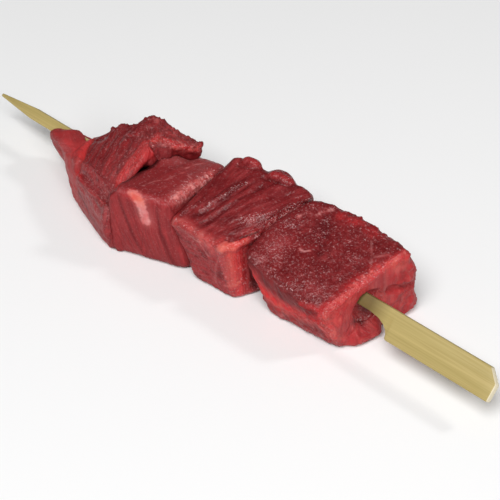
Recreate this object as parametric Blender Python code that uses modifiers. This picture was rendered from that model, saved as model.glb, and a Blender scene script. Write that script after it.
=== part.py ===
"""A beef kebab: four pieces of raw beef threaded on a flat bamboo skewer with a paddle handle.

Units are metres, +Z is up and the meat stands on z = 0. +X runs along the skewer towards the handle.
The sizes below are given in millimetres from a working origin on the table under the skewer's point,
and the finished model is then moved so that its origin is the middle of its own footprint.
"""

import math

import bmesh
import bpy
from mathutils import Matrix, Vector, noise

MM = 0.001
COLLECTION_NAME = "beef_kebab_skewer"
CUTTER_COLLECTION_NAME = "cutters"

# Skewer, in mm. "Across" lies in the plane of the strip, from the middle of the shaft at the handle end.
SKEWER_LENGTH = 200.0
SKEWER_THICKNESS = 3.0
SHAFT_WIDTH = 3.9
HANDLE_WIDTH = 8.8
HANDLE_START = 165.4
SHOULDER_LENGTH = 8.0
END_CHAMFER = 3.6
TIP_TAPER = 16.0
TIP_WIDTH = 1.0
TIP_THICKNESS = 1.4
TIP_SHARES = (0.0, 0.35, 0.7, 1.0)  # places of the cross-sections along the taper
SHAFT_STEPS = 12
SHOULDER_ANGLES = (25.0, 45.0, 62.0, 76.0, 88.0)  # degrees round the curve of the shoulder
SHOULDER_RUN_OUT = 0.4
CROOK = -3.2  # how far across the tip end of the strip lies from the handle end
CROOK_START = 35.0
CROOK_END = 140.0
SKEWER_HEIGHT = 14.5
SKEWER_ROLL = math.radians(45.8)
SKEWER_EDGE_ROUND = 0.35
SLOT_CLEARANCE = 0.3

# Edges that turn more than this are drawn sharp, and those of the skewer are eased.
SHARP_ANGLE = math.radians(40.0)

# Colours, linear, and roughness.
BEEF_COLOUR = (0.27, 0.030, 0.034, 1.0)
BEEF_ROUGHNESS = 0.35
BAMBOO_COLOUR = (0.50, 0.38, 0.15, 1.0)
BAMBOO_ROUGHNESS = 0.55

# Each piece of beef is a rounded block stretched between eight named corners, in mm.
# "tip" is the end nearest the skewer's point and "end" the one nearest its handle.
# "front" is -Y and "back" is +Y. "foot" is the underside and "top" the cut face that looks up.
CORNER_ORDER = [
    (side, depth, level)
    for side in ("tip", "end")
    for depth in ("front", "back")
    for level in ("foot", "top")
]

# How far a block swells beyond its corners, in mm, unless it says otherwise: "crown" over the middle of its
# top, "end_crown" over its top at the handle end, and a belly on its tip, end or back face.
FLAT_SIDES = {
    "crown": 0.0,
    "end_crown": 0.0,
    "tip_belly": 0.0,
    "end_belly": 0.0,
    "back_belly": 0.0,
    "lumps": 0.0,
}

PIECES = {
    # Thin at the tip, where it folds round the skewer, and thick where it lies against the next piece.
    "beef_1": {
        "corners": [
            (48.0, -14.5, 0.0), (37.5, -10.5, 12.5), (44.0, 8.0, 0.0), (43.0, 3.5, 14.0),
            (73.2, -23.5, 0.0), (73.0, -24.0, 13.0), (70.4, 13.0, 0.0), (69.8, 11.0, 30.5),
        ],
        "round": 3.4,
        "crown": 2.5,
        "end_crown": 4.5,
        "lumps": 0.8,
    },
    "beef_2": {
        "corners": [
            (74.4, -23.0, 0.0), (74.0, -22.0, 24.5), (71.4, 12.0, 0.0), (71.2, 10.0, 19.5),
            (98.5, -14.5, 0.0), (91.6, -15.5, 23.5), (98.4, 13.0, 0.0), (90.8, 11.0, 23.6),
        ],
        "round": 3.0,
        "crown": 0.6,
        "lumps": 0.5,
    },
    "beef_3": {
        "corners": [
            (102.4, -14.5, 0.0), (92.5, -17.0, 19.5), (100.4, 15.0, 0.0), (92.0, 13.0, 28.0),
            (116.5, -14.2, 0.0), (113.2, -16.0, 18.0), (125.0, 17.0, 0.0), (124.2, 14.6, 26.2),
        ],
        "round": 2.4,
        "crown": 1.2,
        "end_belly": 2.0,
        "lumps": 0.5,
    },
    "beef_4": {
        "corners": [
            (127.2, -11.6, 0.0), (122.0, -14.0, 19.0), (128.6, 18.0, 0.0), (126.0, 15.8, 26.0),
            (153.4, -8.5, 0.0), (150.5, -15.8, 16.0), (159.4, 21.0, 0.0), (157.6, 14.0, 26.0),
        ],
        "round": 2.8,
        "crown": 1.0,
        "tip_belly": 3.4,
        "back_belly": 2.2,
        "lumps": 0.6,
    },
}
BLOCK_CELLS = 9  # cells along each edge of a block
EDGE_CROWDING = 0.45  # how far the cells crowd towards the edges, from 0, evenly spaced, to 1
MOST_ROUNDING = 0.9  # the largest share of a block's half side that its rounding may take
LUMP_LENGTH = 11.0
LUMP_SEED = 5  # the same unevenness every time

# Small blocks joined to the pieces: the nose of the first piece, wrapped round the skewer, and its flap,
# which hangs over the back of the second.
NOSE = {
    "corners": [
        (31.0, -8.0, 7.0), (29.5, -8.2, 16.5), (29.5, 1.0, 7.5), (28.0, 0.5, 11.5),
        (50.0, -11.5, 3.0), (49.0, -11.0, 15.5), (50.0, 3.5, 5.0), (49.0, 3.0, 13.0),
    ],
    "round": 3.2,
    "crown": 0.3,
    "tip_belly": 0.8,
}
FLAP = {
    "corners": [
        (60.0, -3.0, 22.0), (61.0, -3.0, 27.0), (60.0, 9.5, 22.5), (61.0, 9.5, 29.2),
        (76.0, 0.5, 24.4), (76.2, 0.0, 28.8), (83.0, 10.0, 22.8), (83.0, 9.0, 28.2),
    ],
    "round": 1.8,
    "crown": 0.4,
    "lumps": 0.3,
}
JOINED_BLOCKS = [("beef_1", "nose", NOSE), ("beef_1", "flap", FLAP)]
JOINED_CELLS = 6

# Round lobes joined to a piece: (piece, name, centre, half sizes, turns about X, Y and Z in degrees), in mm.
LOBES = [
    ("beef_3", "lobe", (98.8, 12.4, 24.6), (3.8, 3.6, 3.2), (0.0, 0.0, 20.0)),
    ("beef_3", "lobe_low", (109.4, 14.0, 23.6), (5.2, 4.2, 3.8), (0.0, 10.0, 0.0)),
]
LOBE_SEGMENTS = 16
LOBE_RINGS = 8

# The hollow in the last piece round the skewer where it comes out.
POCKET_CENTRE = (157.5, 0.5, 12.0)
POCKET_SIZE = (6.5, 6.0, 6.5)


def clear_scene():
    """Removes every object and leaves the scene empty."""
    for obj in list(bpy.data.objects):
        bpy.data.objects.remove(obj, do_unlink=True)


def new_collection(name):
    """Makes a collection in the scene."""
    collection = bpy.data.collections.new(name)
    bpy.context.scene.collection.children.link(collection)
    return collection


def make_material(name, colour, roughness):
    """Makes a plain Principled material."""
    material = bpy.data.materials.new(name)
    material.use_nodes = True
    shader = material.node_tree.nodes["Principled BSDF"]
    shader.inputs["Base Color"].default_value = colour
    shader.inputs["Roughness"].default_value = roughness
    shader.inputs["Metallic"].default_value = 0.0
    return material


def make_object(name, mesh_data, collection, material=None):
    """Turns a bmesh, in mm, into an object in metres."""
    bmesh.ops.scale(mesh_data, vec=(MM, MM, MM), verts=mesh_data.verts)
    bmesh.ops.recalc_face_normals(mesh_data, faces=mesh_data.faces)
    mesh = bpy.data.meshes.new(name)
    mesh_data.to_mesh(mesh)
    mesh_data.free()
    mesh.shade_smooth()
    mesh.set_sharp_from_angle(angle=SHARP_ANGLE)
    obj = bpy.data.objects.new(name, mesh)
    collection.objects.link(obj)
    if material:
        mesh.materials.append(material)
    return obj


def hide_cutter(obj):
    """Marks a shape that only cuts or joins others."""
    obj.hide_render = True
    obj.display_type = "WIRE"


def add_boolean(obj, other, operation):
    """Adds a Boolean modifier with the exact solver."""
    modifier = obj.modifiers.new(operation.lower(), "BOOLEAN")
    modifier.operation = operation
    modifier.object = other
    modifier.solver = "EXACT"


def smooth_step(value):
    """Rises from 0 to 1 with level ends."""
    value = min(max(value, 0.0), 1.0)
    return value * value * (3.0 - 2.0 * value)


def crook(along):
    """How far across the middle of the shaft lies at this distance from the point."""
    share = (along - CROOK_START) / (CROOK_END - CROOK_START)
    return CROOK * (1.0 - smooth_step(share))


def skewer_stations():
    """The strip's cross-sections as (along, lower edge, upper edge, thickness)."""
    half = SHAFT_WIDTH / 2
    stations = []
    for share in TIP_SHARES:
        along = share * TIP_TAPER
        reach = (TIP_WIDTH + (SHAFT_WIDTH - TIP_WIDTH) * share) / 2
        thickness = TIP_THICKNESS + (SKEWER_THICKNESS - TIP_THICKNESS) * share
        stations.append((along, crook(along) - reach, crook(along) + reach, thickness))
    shoulder_start = HANDLE_START - SHOULDER_LENGTH
    for step in range(1, SHAFT_STEPS + 1):
        along = TIP_TAPER + (shoulder_start - TIP_TAPER) * step / SHAFT_STEPS
        stations.append((along, crook(along) - half, crook(along) + half, SKEWER_THICKNESS))
    drop = HANDLE_WIDTH - SHAFT_WIDTH
    for angle in SHOULDER_ANGLES:
        turn = math.radians(angle)
        along = shoulder_start + SHOULDER_LENGTH * math.sin(turn)
        stations.append((along, -half - drop * (1.0 - math.cos(turn)), half, SKEWER_THICKNESS))
    low = -half - drop
    stations.append((HANDLE_START + SHOULDER_RUN_OUT, low, half, SKEWER_THICKNESS))
    stations.append((SKEWER_LENGTH - END_CHAMFER, low, half, SKEWER_THICKNESS))
    stations.append((SKEWER_LENGTH, low, half - END_CHAMFER, SKEWER_THICKNESS))
    return stations


def skewer_mesh(grow):
    """Lofts the strip through its stations. grow widens it on every side, for the slots in the meat."""
    mesh_data = bmesh.new()
    rings = []
    for along, low, high, thickness in skewer_stations():
        half = thickness / 2 + grow
        outline = ((low - grow, -half), (high + grow, -half), (high + grow, half), (low - grow, half))
        rings.append([mesh_data.verts.new((along, across, up)) for across, up in outline])
    for first, second in zip(rings, rings[1:]):
        for corner in range(4):
            following = (corner + 1) % 4
            mesh_data.faces.new((first[corner], first[following], second[following], second[corner]))
    mesh_data.faces.new(rings[0])
    mesh_data.faces.new(rings[-1])
    place = Matrix.Translation((0.0, 0.0, SKEWER_HEIGHT)) @ Matrix.Rotation(SKEWER_ROLL, 4, "X")
    bmesh.ops.transform(mesh_data, matrix=place, verts=mesh_data.verts)
    return mesh_data


def add_skewer(collection, material):
    """The bamboo strip, with its long edges eased."""
    skewer = make_object("skewer", skewer_mesh(0.0), collection, material)
    edges = skewer.modifiers.new("eased_edges", "BEVEL")
    edges.width = SKEWER_EDGE_ROUND * MM
    edges.segments = 2
    edges.limit_method = "ANGLE"
    edges.angle_limit = SHARP_ANGLE
    return skewer


def round_off(point, rounding):
    """Moves a point on a cube of half side 1 onto the same cube with rounded edges and corners."""
    inner = [max(-1.0 + size, min(1.0 - size, value)) for value, size in zip(point, rounding)]
    reach = Vector([(value - core) / size for value, core, size in zip(point, inner, rounding)])
    if reach.length > 0.0:
        reach.normalize()
    return [core + size * part for core, size, part in zip(inner, rounding, reach)]


def between_corners(corners, point):
    """The place of a cube point in the block that has these eight corners."""
    place = Vector((0.0, 0.0, 0.0))
    for corner, (side, depth, level) in zip(corners, CORNER_ORDER):
        along = 1.0 if side == "end" else -1.0
        across = 1.0 if depth == "back" else -1.0
        up = 1.0 if level == "top" else -1.0
        share = (1.0 + along * point[0]) * (1.0 + across * point[1]) * (1.0 + up * point[2]) / 8.0
        place += Vector(corner) * share
    return place


def block_size(corners):
    """The block's mean length, width and height."""
    middle = {}
    for axis in range(3):
        low = [c for c, names in zip(corners, CORNER_ORDER) if names[axis] in ("tip", "front", "foot")]
        high = [c for c, names in zip(corners, CORNER_ORDER) if names[axis] in ("end", "back", "top")]
        middle[axis] = (sum(c[axis] for c in high) - sum(c[axis] for c in low)) / 4.0
    return middle[0], middle[1], middle[2]


def block_mesh(shape, cells, seed):
    """A cube divided into cells, rounded, stretched between the corners and made a little uneven."""
    shape = {**FLAT_SIDES, **shape}
    mesh_data = bmesh.new()
    bmesh.ops.create_cube(mesh_data, size=2.0)
    bmesh.ops.subdivide_edges(mesh_data, edges=mesh_data.edges, cuts=cells - 1, use_grid_fill=True)
    corners = shape["corners"]
    rounding = [min(MOST_ROUNDING, 2.0 * shape["round"] / size) for size in block_size(corners)]
    for vert in mesh_data.verts:
        # Cells are narrower near the edges, where the rounding is.
        cube_point = [
            math.sin(value * math.pi / 2) * EDGE_CROWDING + value * (1.0 - EDGE_CROWDING) for value in vert.co
        ]
        point = round_off(cube_point, rounding)
        place = between_corners(corners, point)
        above = (1.0 + point[2]) / 2.0
        level = 1.0 - point[1] ** 2
        place.x -= shape["tip_belly"] * (1.0 - point[0]) / 2.0 * level
        place.x += shape["end_belly"] * (1.0 + point[0]) / 2.0 * level * (1.0 - above)
        place.y += shape["back_belly"] * (1.0 + point[1]) / 2.0 * (1.0 - point[0] ** 2)
        place.z += shape["crown"] * above * (1.0 - point[0] ** 2) * level
        place.z += shape["end_crown"] * above * (1.0 + point[0]) / 2.0 * level
        push = noise.noise_vector(place / LUMP_LENGTH + Vector((seed, 0.0, 0.0)))
        push.z *= above
        vert.co = place + push * shape["lumps"] * above * (1.0 - abs(point[0]) ** 4)
    return mesh_data


def lobe_mesh(centre, half_sizes, turns):
    """An ellipsoid, turned and placed."""
    mesh_data = bmesh.new()
    bmesh.ops.create_uvsphere(
        mesh_data, u_segments=LOBE_SEGMENTS, v_segments=LOBE_RINGS, radius=1.0
    )
    turn = Matrix.Identity(4)
    for angle, axis in zip(turns, "XYZ"):
        turn = Matrix.Rotation(math.radians(angle), 4, axis) @ turn
    place = Matrix.Translation(centre) @ turn @ Matrix.Diagonal((*half_sizes, 1.0))
    bmesh.ops.transform(mesh_data, matrix=place, verts=mesh_data.verts)
    return mesh_data


def add_beef(collection, cutters, material):
    """The four pieces of beef, each with its slot for the skewer."""
    noise.seed_set(LUMP_SEED)
    slot = make_object("slot", skewer_mesh(SLOT_CLEARANCE), cutters)
    hide_cutter(slot)
    pieces = {}
    for seed, (name, shape) in enumerate(PIECES.items()):
        pieces[name] = make_object(name, block_mesh(shape, BLOCK_CELLS, seed), collection, material)
    for seed, (piece, name, shape) in enumerate(JOINED_BLOCKS, len(PIECES)):
        block = make_object(name, block_mesh(shape, JOINED_CELLS, seed), cutters)
        hide_cutter(block)
        add_boolean(pieces[piece], block, "UNION")
    for piece, name, centre, half_sizes, turns in LOBES:
        lobe = make_object(name, lobe_mesh(centre, half_sizes, turns), cutters)
        hide_cutter(lobe)
        add_boolean(pieces[piece], lobe, "UNION")
    pocket = make_object("pocket", lobe_mesh(POCKET_CENTRE, POCKET_SIZE, (0.0, 0.0, 0.0)), cutters)
    hide_cutter(pocket)
    add_boolean(pieces["beef_4"], pocket, "DIFFERENCE")
    for obj in pieces.values():
        add_boolean(obj, slot, "DIFFERENCE")
    return list(pieces.values())


def footprint_middle(objects):
    """The middle of the finished model's footprint, and its lowest height, in metres."""
    bpy.context.view_layer.update()
    graph = bpy.context.evaluated_depsgraph_get()
    points = [vert.co for obj in objects for vert in obj.evaluated_get(graph).data.vertices]
    low = [min(point[axis] for point in points) for axis in range(3)]
    high = [max(point[axis] for point in points) for axis in range(3)]
    return Vector(((low[0] + high[0]) / 2, (low[1] + high[1]) / 2, low[2]))


def centre_model(objects, cutters):
    """Moves everything so that the origin is the middle of the footprint."""
    offset = footprint_middle(objects)
    for obj in [*objects, *cutters.objects]:
        obj.location = -offset
    bpy.context.view_layer.update()


def main():
    """Builds the kebab."""
    clear_scene()
    collection = new_collection(COLLECTION_NAME)
    cutters = new_collection(CUTTER_COLLECTION_NAME)
    bamboo = make_material("bamboo", BAMBOO_COLOUR, BAMBOO_ROUGHNESS)
    beef = make_material("raw_beef", BEEF_COLOUR, BEEF_ROUGHNESS)
    objects = [add_skewer(collection, bamboo)]
    objects += add_beef(collection, cutters, beef)
    centre_model(objects, cutters)


main()
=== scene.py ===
"""Looks of a raw beef kebab: four uneven cuts of meat threaded on a flat bamboo paddle skewer."""

import math

import bmesh
import bpy
import numpy as np
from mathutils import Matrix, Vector, bvhtree, noise


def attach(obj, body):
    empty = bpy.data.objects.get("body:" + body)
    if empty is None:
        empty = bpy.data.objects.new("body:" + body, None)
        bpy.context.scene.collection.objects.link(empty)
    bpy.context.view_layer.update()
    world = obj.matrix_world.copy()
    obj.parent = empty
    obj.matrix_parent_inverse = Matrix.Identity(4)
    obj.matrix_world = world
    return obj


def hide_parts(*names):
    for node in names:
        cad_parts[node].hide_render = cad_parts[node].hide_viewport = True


MM = 0.001
SKIN_PITCH = 0.34

# Pieces that press together, in mm
PRESSED_GAP = 0.03
REACH = 3.0
WAY_OUT = Vector((0.13, 0.21, 0.97)).normalized()
placed = []  # the skins of the pieces made so far

# Light strengths
WORLD_LIGHT = 0.10
TOP_LIGHT = 18.0
KEY_LIGHT = 5.0
GLINT_LIGHT = 3.0

# Meat colours, as linear red, green and blue
LEAN_DARK = (0.175, 0.010, 0.012)
LEAN_LIGHT = (0.255, 0.019, 0.021)
LEAN_FIBRE = (0.320, 0.035, 0.037)
# dark red of the meat itself, also laid in as painted shade in creases and between the pieces
DEEP_RED_AND_SHADE = (0.100, 0.004, 0.006)
# vivid red of the meat, also laid in as painted light on lit rims and end faces
BRIGHT_RED_AND_LIT = (0.610, 0.031, 0.034)
# mauve of the meat, also laid on the lower sides as painted sheen from the floor
MAUVE_AND_SHEEN = (0.360, 0.045, 0.049)
# whitish squiggles, partly painted glints
FROST_AND_GLINT = (0.480, 0.190, 0.190)
# painted glint specks on wet places
GLINT = (0.640, 0.360, 0.360)
# colours of the fatty parts, also used for painted highlights
FAT_ORANGE = (0.680, 0.150, 0.110)
FAT_PINK_AND_HIGHLIGHT = (0.720, 0.300, 0.290)
# near-black painted shade for clefts, folds and hollows
PAINTED_SHADE_RED = (0.012, 0.001, 0.001)


# ---------------------------------------------------------------- meat: shaping

def fine_skin(node, name, pitch, rounds):
    """A merged copy of a CAD piece, re-skinned with small even faces and relaxed until its facets are gone."""
    shell = bmesh.new()
    shell.from_mesh(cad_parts[node].data)
    bmesh.ops.remove_doubles(shell, verts=shell.verts, dist=0.001 * MM)
    rough = bpy.data.meshes.new(name + "_rough")
    shell.to_mesh(rough)
    shell.free()
    piece = bpy.data.objects.new(name, rough)
    bpy.context.scene.collection.objects.link(piece)
    skin = piece.modifiers.new("skin", "REMESH")
    skin.mode = "VOXEL"
    skin.voxel_size = pitch * MM
    relax = piece.modifiers.new("relax", "SMOOTH")
    relax.factor = 0.5
    relax.iterations = rounds
    scene_state = bpy.context.evaluated_depsgraph_get()
    fine = bpy.data.meshes.new_from_object(piece.evaluated_get(scene_state))
    piece.modifiers.clear()
    piece.data = fine
    bpy.data.meshes.remove(rough)
    fine.name = name
    return piece


def falloff(distance, width):
    """1 at no distance, falling smoothly to 0 at the width."""
    share = np.clip(1.0 - (distance / width) ** 2, 0.0, 1.0)
    return share * share


def step(value, low, high):
    """0 below low, 1 above high, and a smooth rise between."""
    share = np.clip((value - low) / (high - low), 0.0, 1.0)
    return share * share * (3.0 - 2.0 * share)


def inside(skin, point):
    """Whether a point is in a closed skin: a straight line out of it then crosses the skin an odd number of times."""
    crossings = 0
    start = Vector(point)
    while True:
        hit = skin.ray_cast(start, WAY_OUT)[0]
        if hit is None:
            return crossings % 2 == 1
        crossings += 1
        start = hit + WAY_OUT * 0.001


class Cut:
    """One cut of meat. Its skin points are in millimetres; it is shaped by pushes and tinted by washes."""

    # colour masks; several also carry painted light: shade in clefts and creases, lit rims and faces, sheen on the
    # lower sides, glints and highlights
    TINTS = ("fat_and_highlight", "bright_and_lit", "mauve_and_sheen", "deep_and_shade", "gap", "smooth", "frost_and_glint", "wet")

    def __init__(self, node, name, pitch=SKIN_PITCH, rounds=18):
        self.node = node
        self.piece = fine_skin(node, name, pitch, rounds)
        self.mesh = self.piece.data
        self.tints = {tint: np.zeros(len(self.mesh.vertices)) for tint in self.TINTS}
        self.run = np.zeros((len(self.mesh.vertices), 3))
        self.faces = [tuple(face.vertices) for face in self.mesh.polygons]
        self.read()

    def read(self):
        flat = np.empty(len(self.mesh.vertices) * 3, np.float32)
        self.mesh.vertices.foreach_get("co", flat)
        self.points = flat.reshape(-1, 3).astype(float) / MM
        self.mesh.vertex_normals.foreach_get("vector", flat)
        self.normals = flat.reshape(-1, 3).astype(float)
        self.tree = None

    def write(self):
        self.mesh.vertices.foreach_set("co", (self.points * MM).astype(np.float32).ravel())
        self.mesh.update()
        self.read()

    def push(self, amount):
        """Moves the skin along its normals by an amount in millimetres, given for each point."""
        self.points += self.normals * np.asarray(amount)[:, None]
        self.write()

    def shift(self, move, amount):
        """Moves the skin in one direction, in millimetres, by a share given for each point."""
        self.points += np.asarray(move, float) * np.asarray(amount)[:, None]
        self.write()

    def facing(self, direction, low=0.25, high=0.7):
        """1 where the skin faces a direction and 0 where it faces away."""
        aim = np.asarray(Vector(direction).normalized())
        return step(self.normals @ aim, low, high)

    def past(self, axis, low, high):
        """0 below the low place on an axis and 1 above the high one; the other way round if low is higher."""
        if low > high:
            return 1.0 - step(self.points[:, axis], high, low)
        return step(self.points[:, axis], low, high)

    def beside(self, a, b, soft):
        """1 to the left of the line from a to b, seen from above, and 0 to its right, over a soft width."""
        line = np.asarray(b, float) - np.asarray(a, float)
        line = line / np.linalg.norm(line)
        arm = self.points[:, :2] - np.asarray(a, float)
        left = line[0] * arm[:, 1] - line[1] * arm[:, 0]
        return step(left, -soft, soft)

    def laid(self, path):
        """The path, filled in every millimetre and laid on the skin."""
        corners = [Vector(p) for p in path]
        filled = []
        for a, b in zip(corners, corners[1:]):
            steps = max(1, int((b - a).length))
            filled += [a.lerp(b, i / steps) for i in range(steps)]
        filled.append(corners[-1])
        if self.tree is None:
            self.tree = self.skin()
        return [self.tree.find_nearest(p)[0] for p in filled]

    def follow(self, line):
        """For each skin point: its distance to a line, how many millimetres along it, and how far to its side."""
        line = np.array(line, float)
        best = np.full(len(self.points), 1e9)
        along = np.zeros(len(self.points))
        side = np.zeros(len(self.points))
        lengths = np.linalg.norm(np.diff(line, axis=0), axis=1)
        run = np.concatenate([[0.0], np.cumsum(lengths)])
        for i, length in enumerate(lengths):
            if length < 1e-6:
                continue
            tangent = (line[i + 1] - line[i]) / length
            arm = self.points - line[i]
            lower = -1e3 if i == 0 else 0.0
            upper = 1e3 if i == len(lengths) - 1 else length
            t = np.clip(arm @ tangent, lower, upper)
            gap = arm - tangent * t[:, None]
            distance = np.linalg.norm(gap, axis=1)
            closer = distance < best
            best[closer] = distance[closer]
            along[closer] = run[i] + t[closer]
            across = np.cross(self.normals[closer], tangent)
            side[closer] = np.einsum("ij,ij->i", gap[closer], across)
        return best, along, side

    def stroke(self, path, width, fade=0.0):
        """A soft brush stroke along a path: 1 on it and 0 beyond its width. It fades within some mm of its ends."""
        line = np.array(self.laid(path), float)
        total = np.linalg.norm(np.diff(line, axis=0), axis=1).sum()
        distance, along, _ = self.follow(line)
        past_end = np.maximum(np.maximum(-along, along - total), 0.0)
        weight = falloff(np.hypot(distance, past_end), width)
        if fade > 0.0:
            weight = weight * step(along, 0.0, fade) * step(total - along, 0.0, fade)
        return weight

    def patch(self, path, width, seed):
        """A patch along a path with a crisp, slightly ragged edge."""
        return step(self.stroke(path, width) + 0.30 * self.lumps(0.9, seed), 0.15, 0.75)

    def blot(self, centre, radii):
        """A soft patch: 1 at its centre, 0 at its radii."""
        away = (self.points - np.asarray(centre, float)) / np.asarray(radii, float)
        return falloff(np.linalg.norm(away, axis=1), 1.0)

    def lumps(self, size, seed, octaves=2):
        """Even noise from about -1 to 1 with bumps of one size, or of three sizes along X, Y and Z."""
        grid = self.points / np.asarray(size, float) + seed * 17.3
        return np.array([noise.fractal(p, 0.8, 2.1, octaves) for p in grid.tolist()])

    def comb(self, guide, where=None):
        """Lays the muscle fibres along a guide line, on the whole skin or where a mask is over a half."""
        distance, along, side = self.follow(guide)
        depth = np.sqrt(np.maximum(distance ** 2 - side ** 2, 0.0))
        combed = np.stack([along, side, depth], axis=1)
        if where is None:
            self.run = combed
        else:
            self.run[where > 0.5] = combed[where > 0.5]

    def endwise(self, axis, where=None):
        """Stands the fibres on end along X, Y or Z (0, 1 or 2), so that their cut ends mottle the skin."""
        turned = np.roll(self.points, -axis, axis=1)
        if where is None:
            self.run = turned
        else:
            self.run[where > 0.5] = turned[where > 0.5]

    def fan(self, root, reach):
        """Spreads the fibres like rays from a root point, seen from above; reach is the usual distance to it."""
        arm = self.points[:, :2] - np.asarray(root, float)
        angle = np.arctan2(arm[:, 0], arm[:, 1])
        self.run = np.stack([np.linalg.norm(arm, axis=1), angle * reach, self.points[:, 2]], axis=1)

    def ribs(self, spacing, length, seed, octaves=2):
        """Noise drawn out along the fibres that comb() laid."""
        grid = self.run / (length, spacing, spacing) + seed * 9.7
        return np.array([noise.fractal(p, 0.8, 2.1, octaves) for p in grid.tolist()])

    def wash(self, tint, amount):
        """Adds to a tint, which stays between 0 and 1."""
        self.tints[tint] = np.clip(self.tints[tint] + amount, 0.0, 1.0)

    def skin(self):
        return bvhtree.BVHTree.FromPolygons(self.points.tolist(), self.faces)

    def make_way(self, neighbour):
        """Presses the skin back to just outside a neighbour, wherever it reaches into it."""
        for i, point in enumerate(self.points.tolist()):
            touch, outward, _, _ = neighbour.find_nearest(point, REACH)
            if touch is not None and inside(neighbour, point):
                self.points[i] = touch + outward * PRESSED_GAP
        self.write()

    def done(self, material):
        for neighbour in placed:
            self.make_way(neighbour)
        placed.append(self.skin())
        for tint, values in self.tints.items():
            layer = self.mesh.attributes.new(tint, "FLOAT", "POINT")
            layer.data.foreach_set("value", values.astype(np.float32))
        layer = self.mesh.attributes.new("run", "FLOAT_VECTOR", "POINT")
        layer.data.foreach_set("vector", self.run.astype(np.float32).ravel())
        self.mesh.materials.clear()
        self.mesh.materials.append(material)
        self.mesh.shade_smooth()
        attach(self.piece, "root")
        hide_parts(self.node)


# ---------------------------------------------------------------- materials

class Finish:
    """A small helper that adds and links shader nodes."""

    def __init__(self, name):
        self.material = bpy.data.materials.new(name)
        self.material.use_nodes = True
        self.nodes = self.material.node_tree.nodes
        self.links = self.material.node_tree.links
        self.shader = self.nodes["Principled BSDF"]
        self.place = self.nodes.new("ShaderNodeTexCoord").outputs["Object"]

    def join(self, source, target):
        self.links.new(source, target)

    def stretched(self, scale, vector=None):
        mapping = self.nodes.new("ShaderNodeMapping")
        mapping.inputs["Scale"].default_value = scale
        self.join(vector or self.place, mapping.inputs["Vector"])
        return mapping.outputs["Vector"]

    def grain(self, scale, detail=2.0, vector=None, roughness=0.5, distortion=0.0):
        pattern = self.nodes.new("ShaderNodeTexNoise")
        pattern.inputs["Scale"].default_value = scale
        pattern.inputs["Detail"].default_value = detail
        pattern.inputs["Roughness"].default_value = roughness
        pattern.inputs["Distortion"].default_value = distortion
        self.join(vector or self.place, pattern.inputs["Vector"])
        return pattern.outputs["Fac"]

    def layer(self, name):
        attribute = self.nodes.new("ShaderNodeAttribute")
        attribute.attribute_name = name
        return attribute.outputs["Fac"]

    def vector_layer(self, name):
        attribute = self.nodes.new("ShaderNodeAttribute")
        attribute.attribute_name = name
        return attribute.outputs["Vector"]

    def ramp(self, value, low, high, to_low=0.0, to_high=1.0):
        spread = self.nodes.new("ShaderNodeMapRange")
        spread.inputs["From Min"].default_value = low
        spread.inputs["From Max"].default_value = high
        spread.inputs["To Min"].default_value = to_low
        spread.inputs["To Max"].default_value = to_high
        self.join(value, spread.inputs["Value"])
        return spread.outputs["Result"]

    def maths(self, kind, a, b):
        node = self.nodes.new("ShaderNodeMath")
        node.operation = kind
        for socket, value in zip(node.inputs, (a, b)):
            if isinstance(value, (int, float)):
                socket.default_value = value
            else:
                self.join(value, socket)
        return node.outputs["Value"]

    def blend(self, share, a, b, kind="MIX"):
        mix = self.nodes.new("ShaderNodeMix")
        mix.data_type = "RGBA"
        mix.blend_type = kind
        colours = [s for s in mix.inputs if s.type == "RGBA"]
        factor = [s for s in mix.inputs if s.type == "VALUE"][0]
        for socket, value in zip([factor] + colours, (share, a, b)):
            if isinstance(value, (int, float)):
                socket.default_value = value
            elif isinstance(value, tuple):
                socket.default_value = (*value, 1.0)
            else:
                self.join(value, socket)
        return [s for s in mix.outputs if s.type == "RGBA"][0]

    def relief(self, height, depth, strength=1.0, under=None):
        bump = self.nodes.new("ShaderNodeBump")
        bump.inputs["Strength"].default_value = strength
        bump.inputs["Distance"].default_value = depth * MM
        self.join(height, bump.inputs["Height"])
        if under is not None:
            self.join(under, bump.inputs["Normal"])
        return bump.outputs["Normal"]


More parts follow.
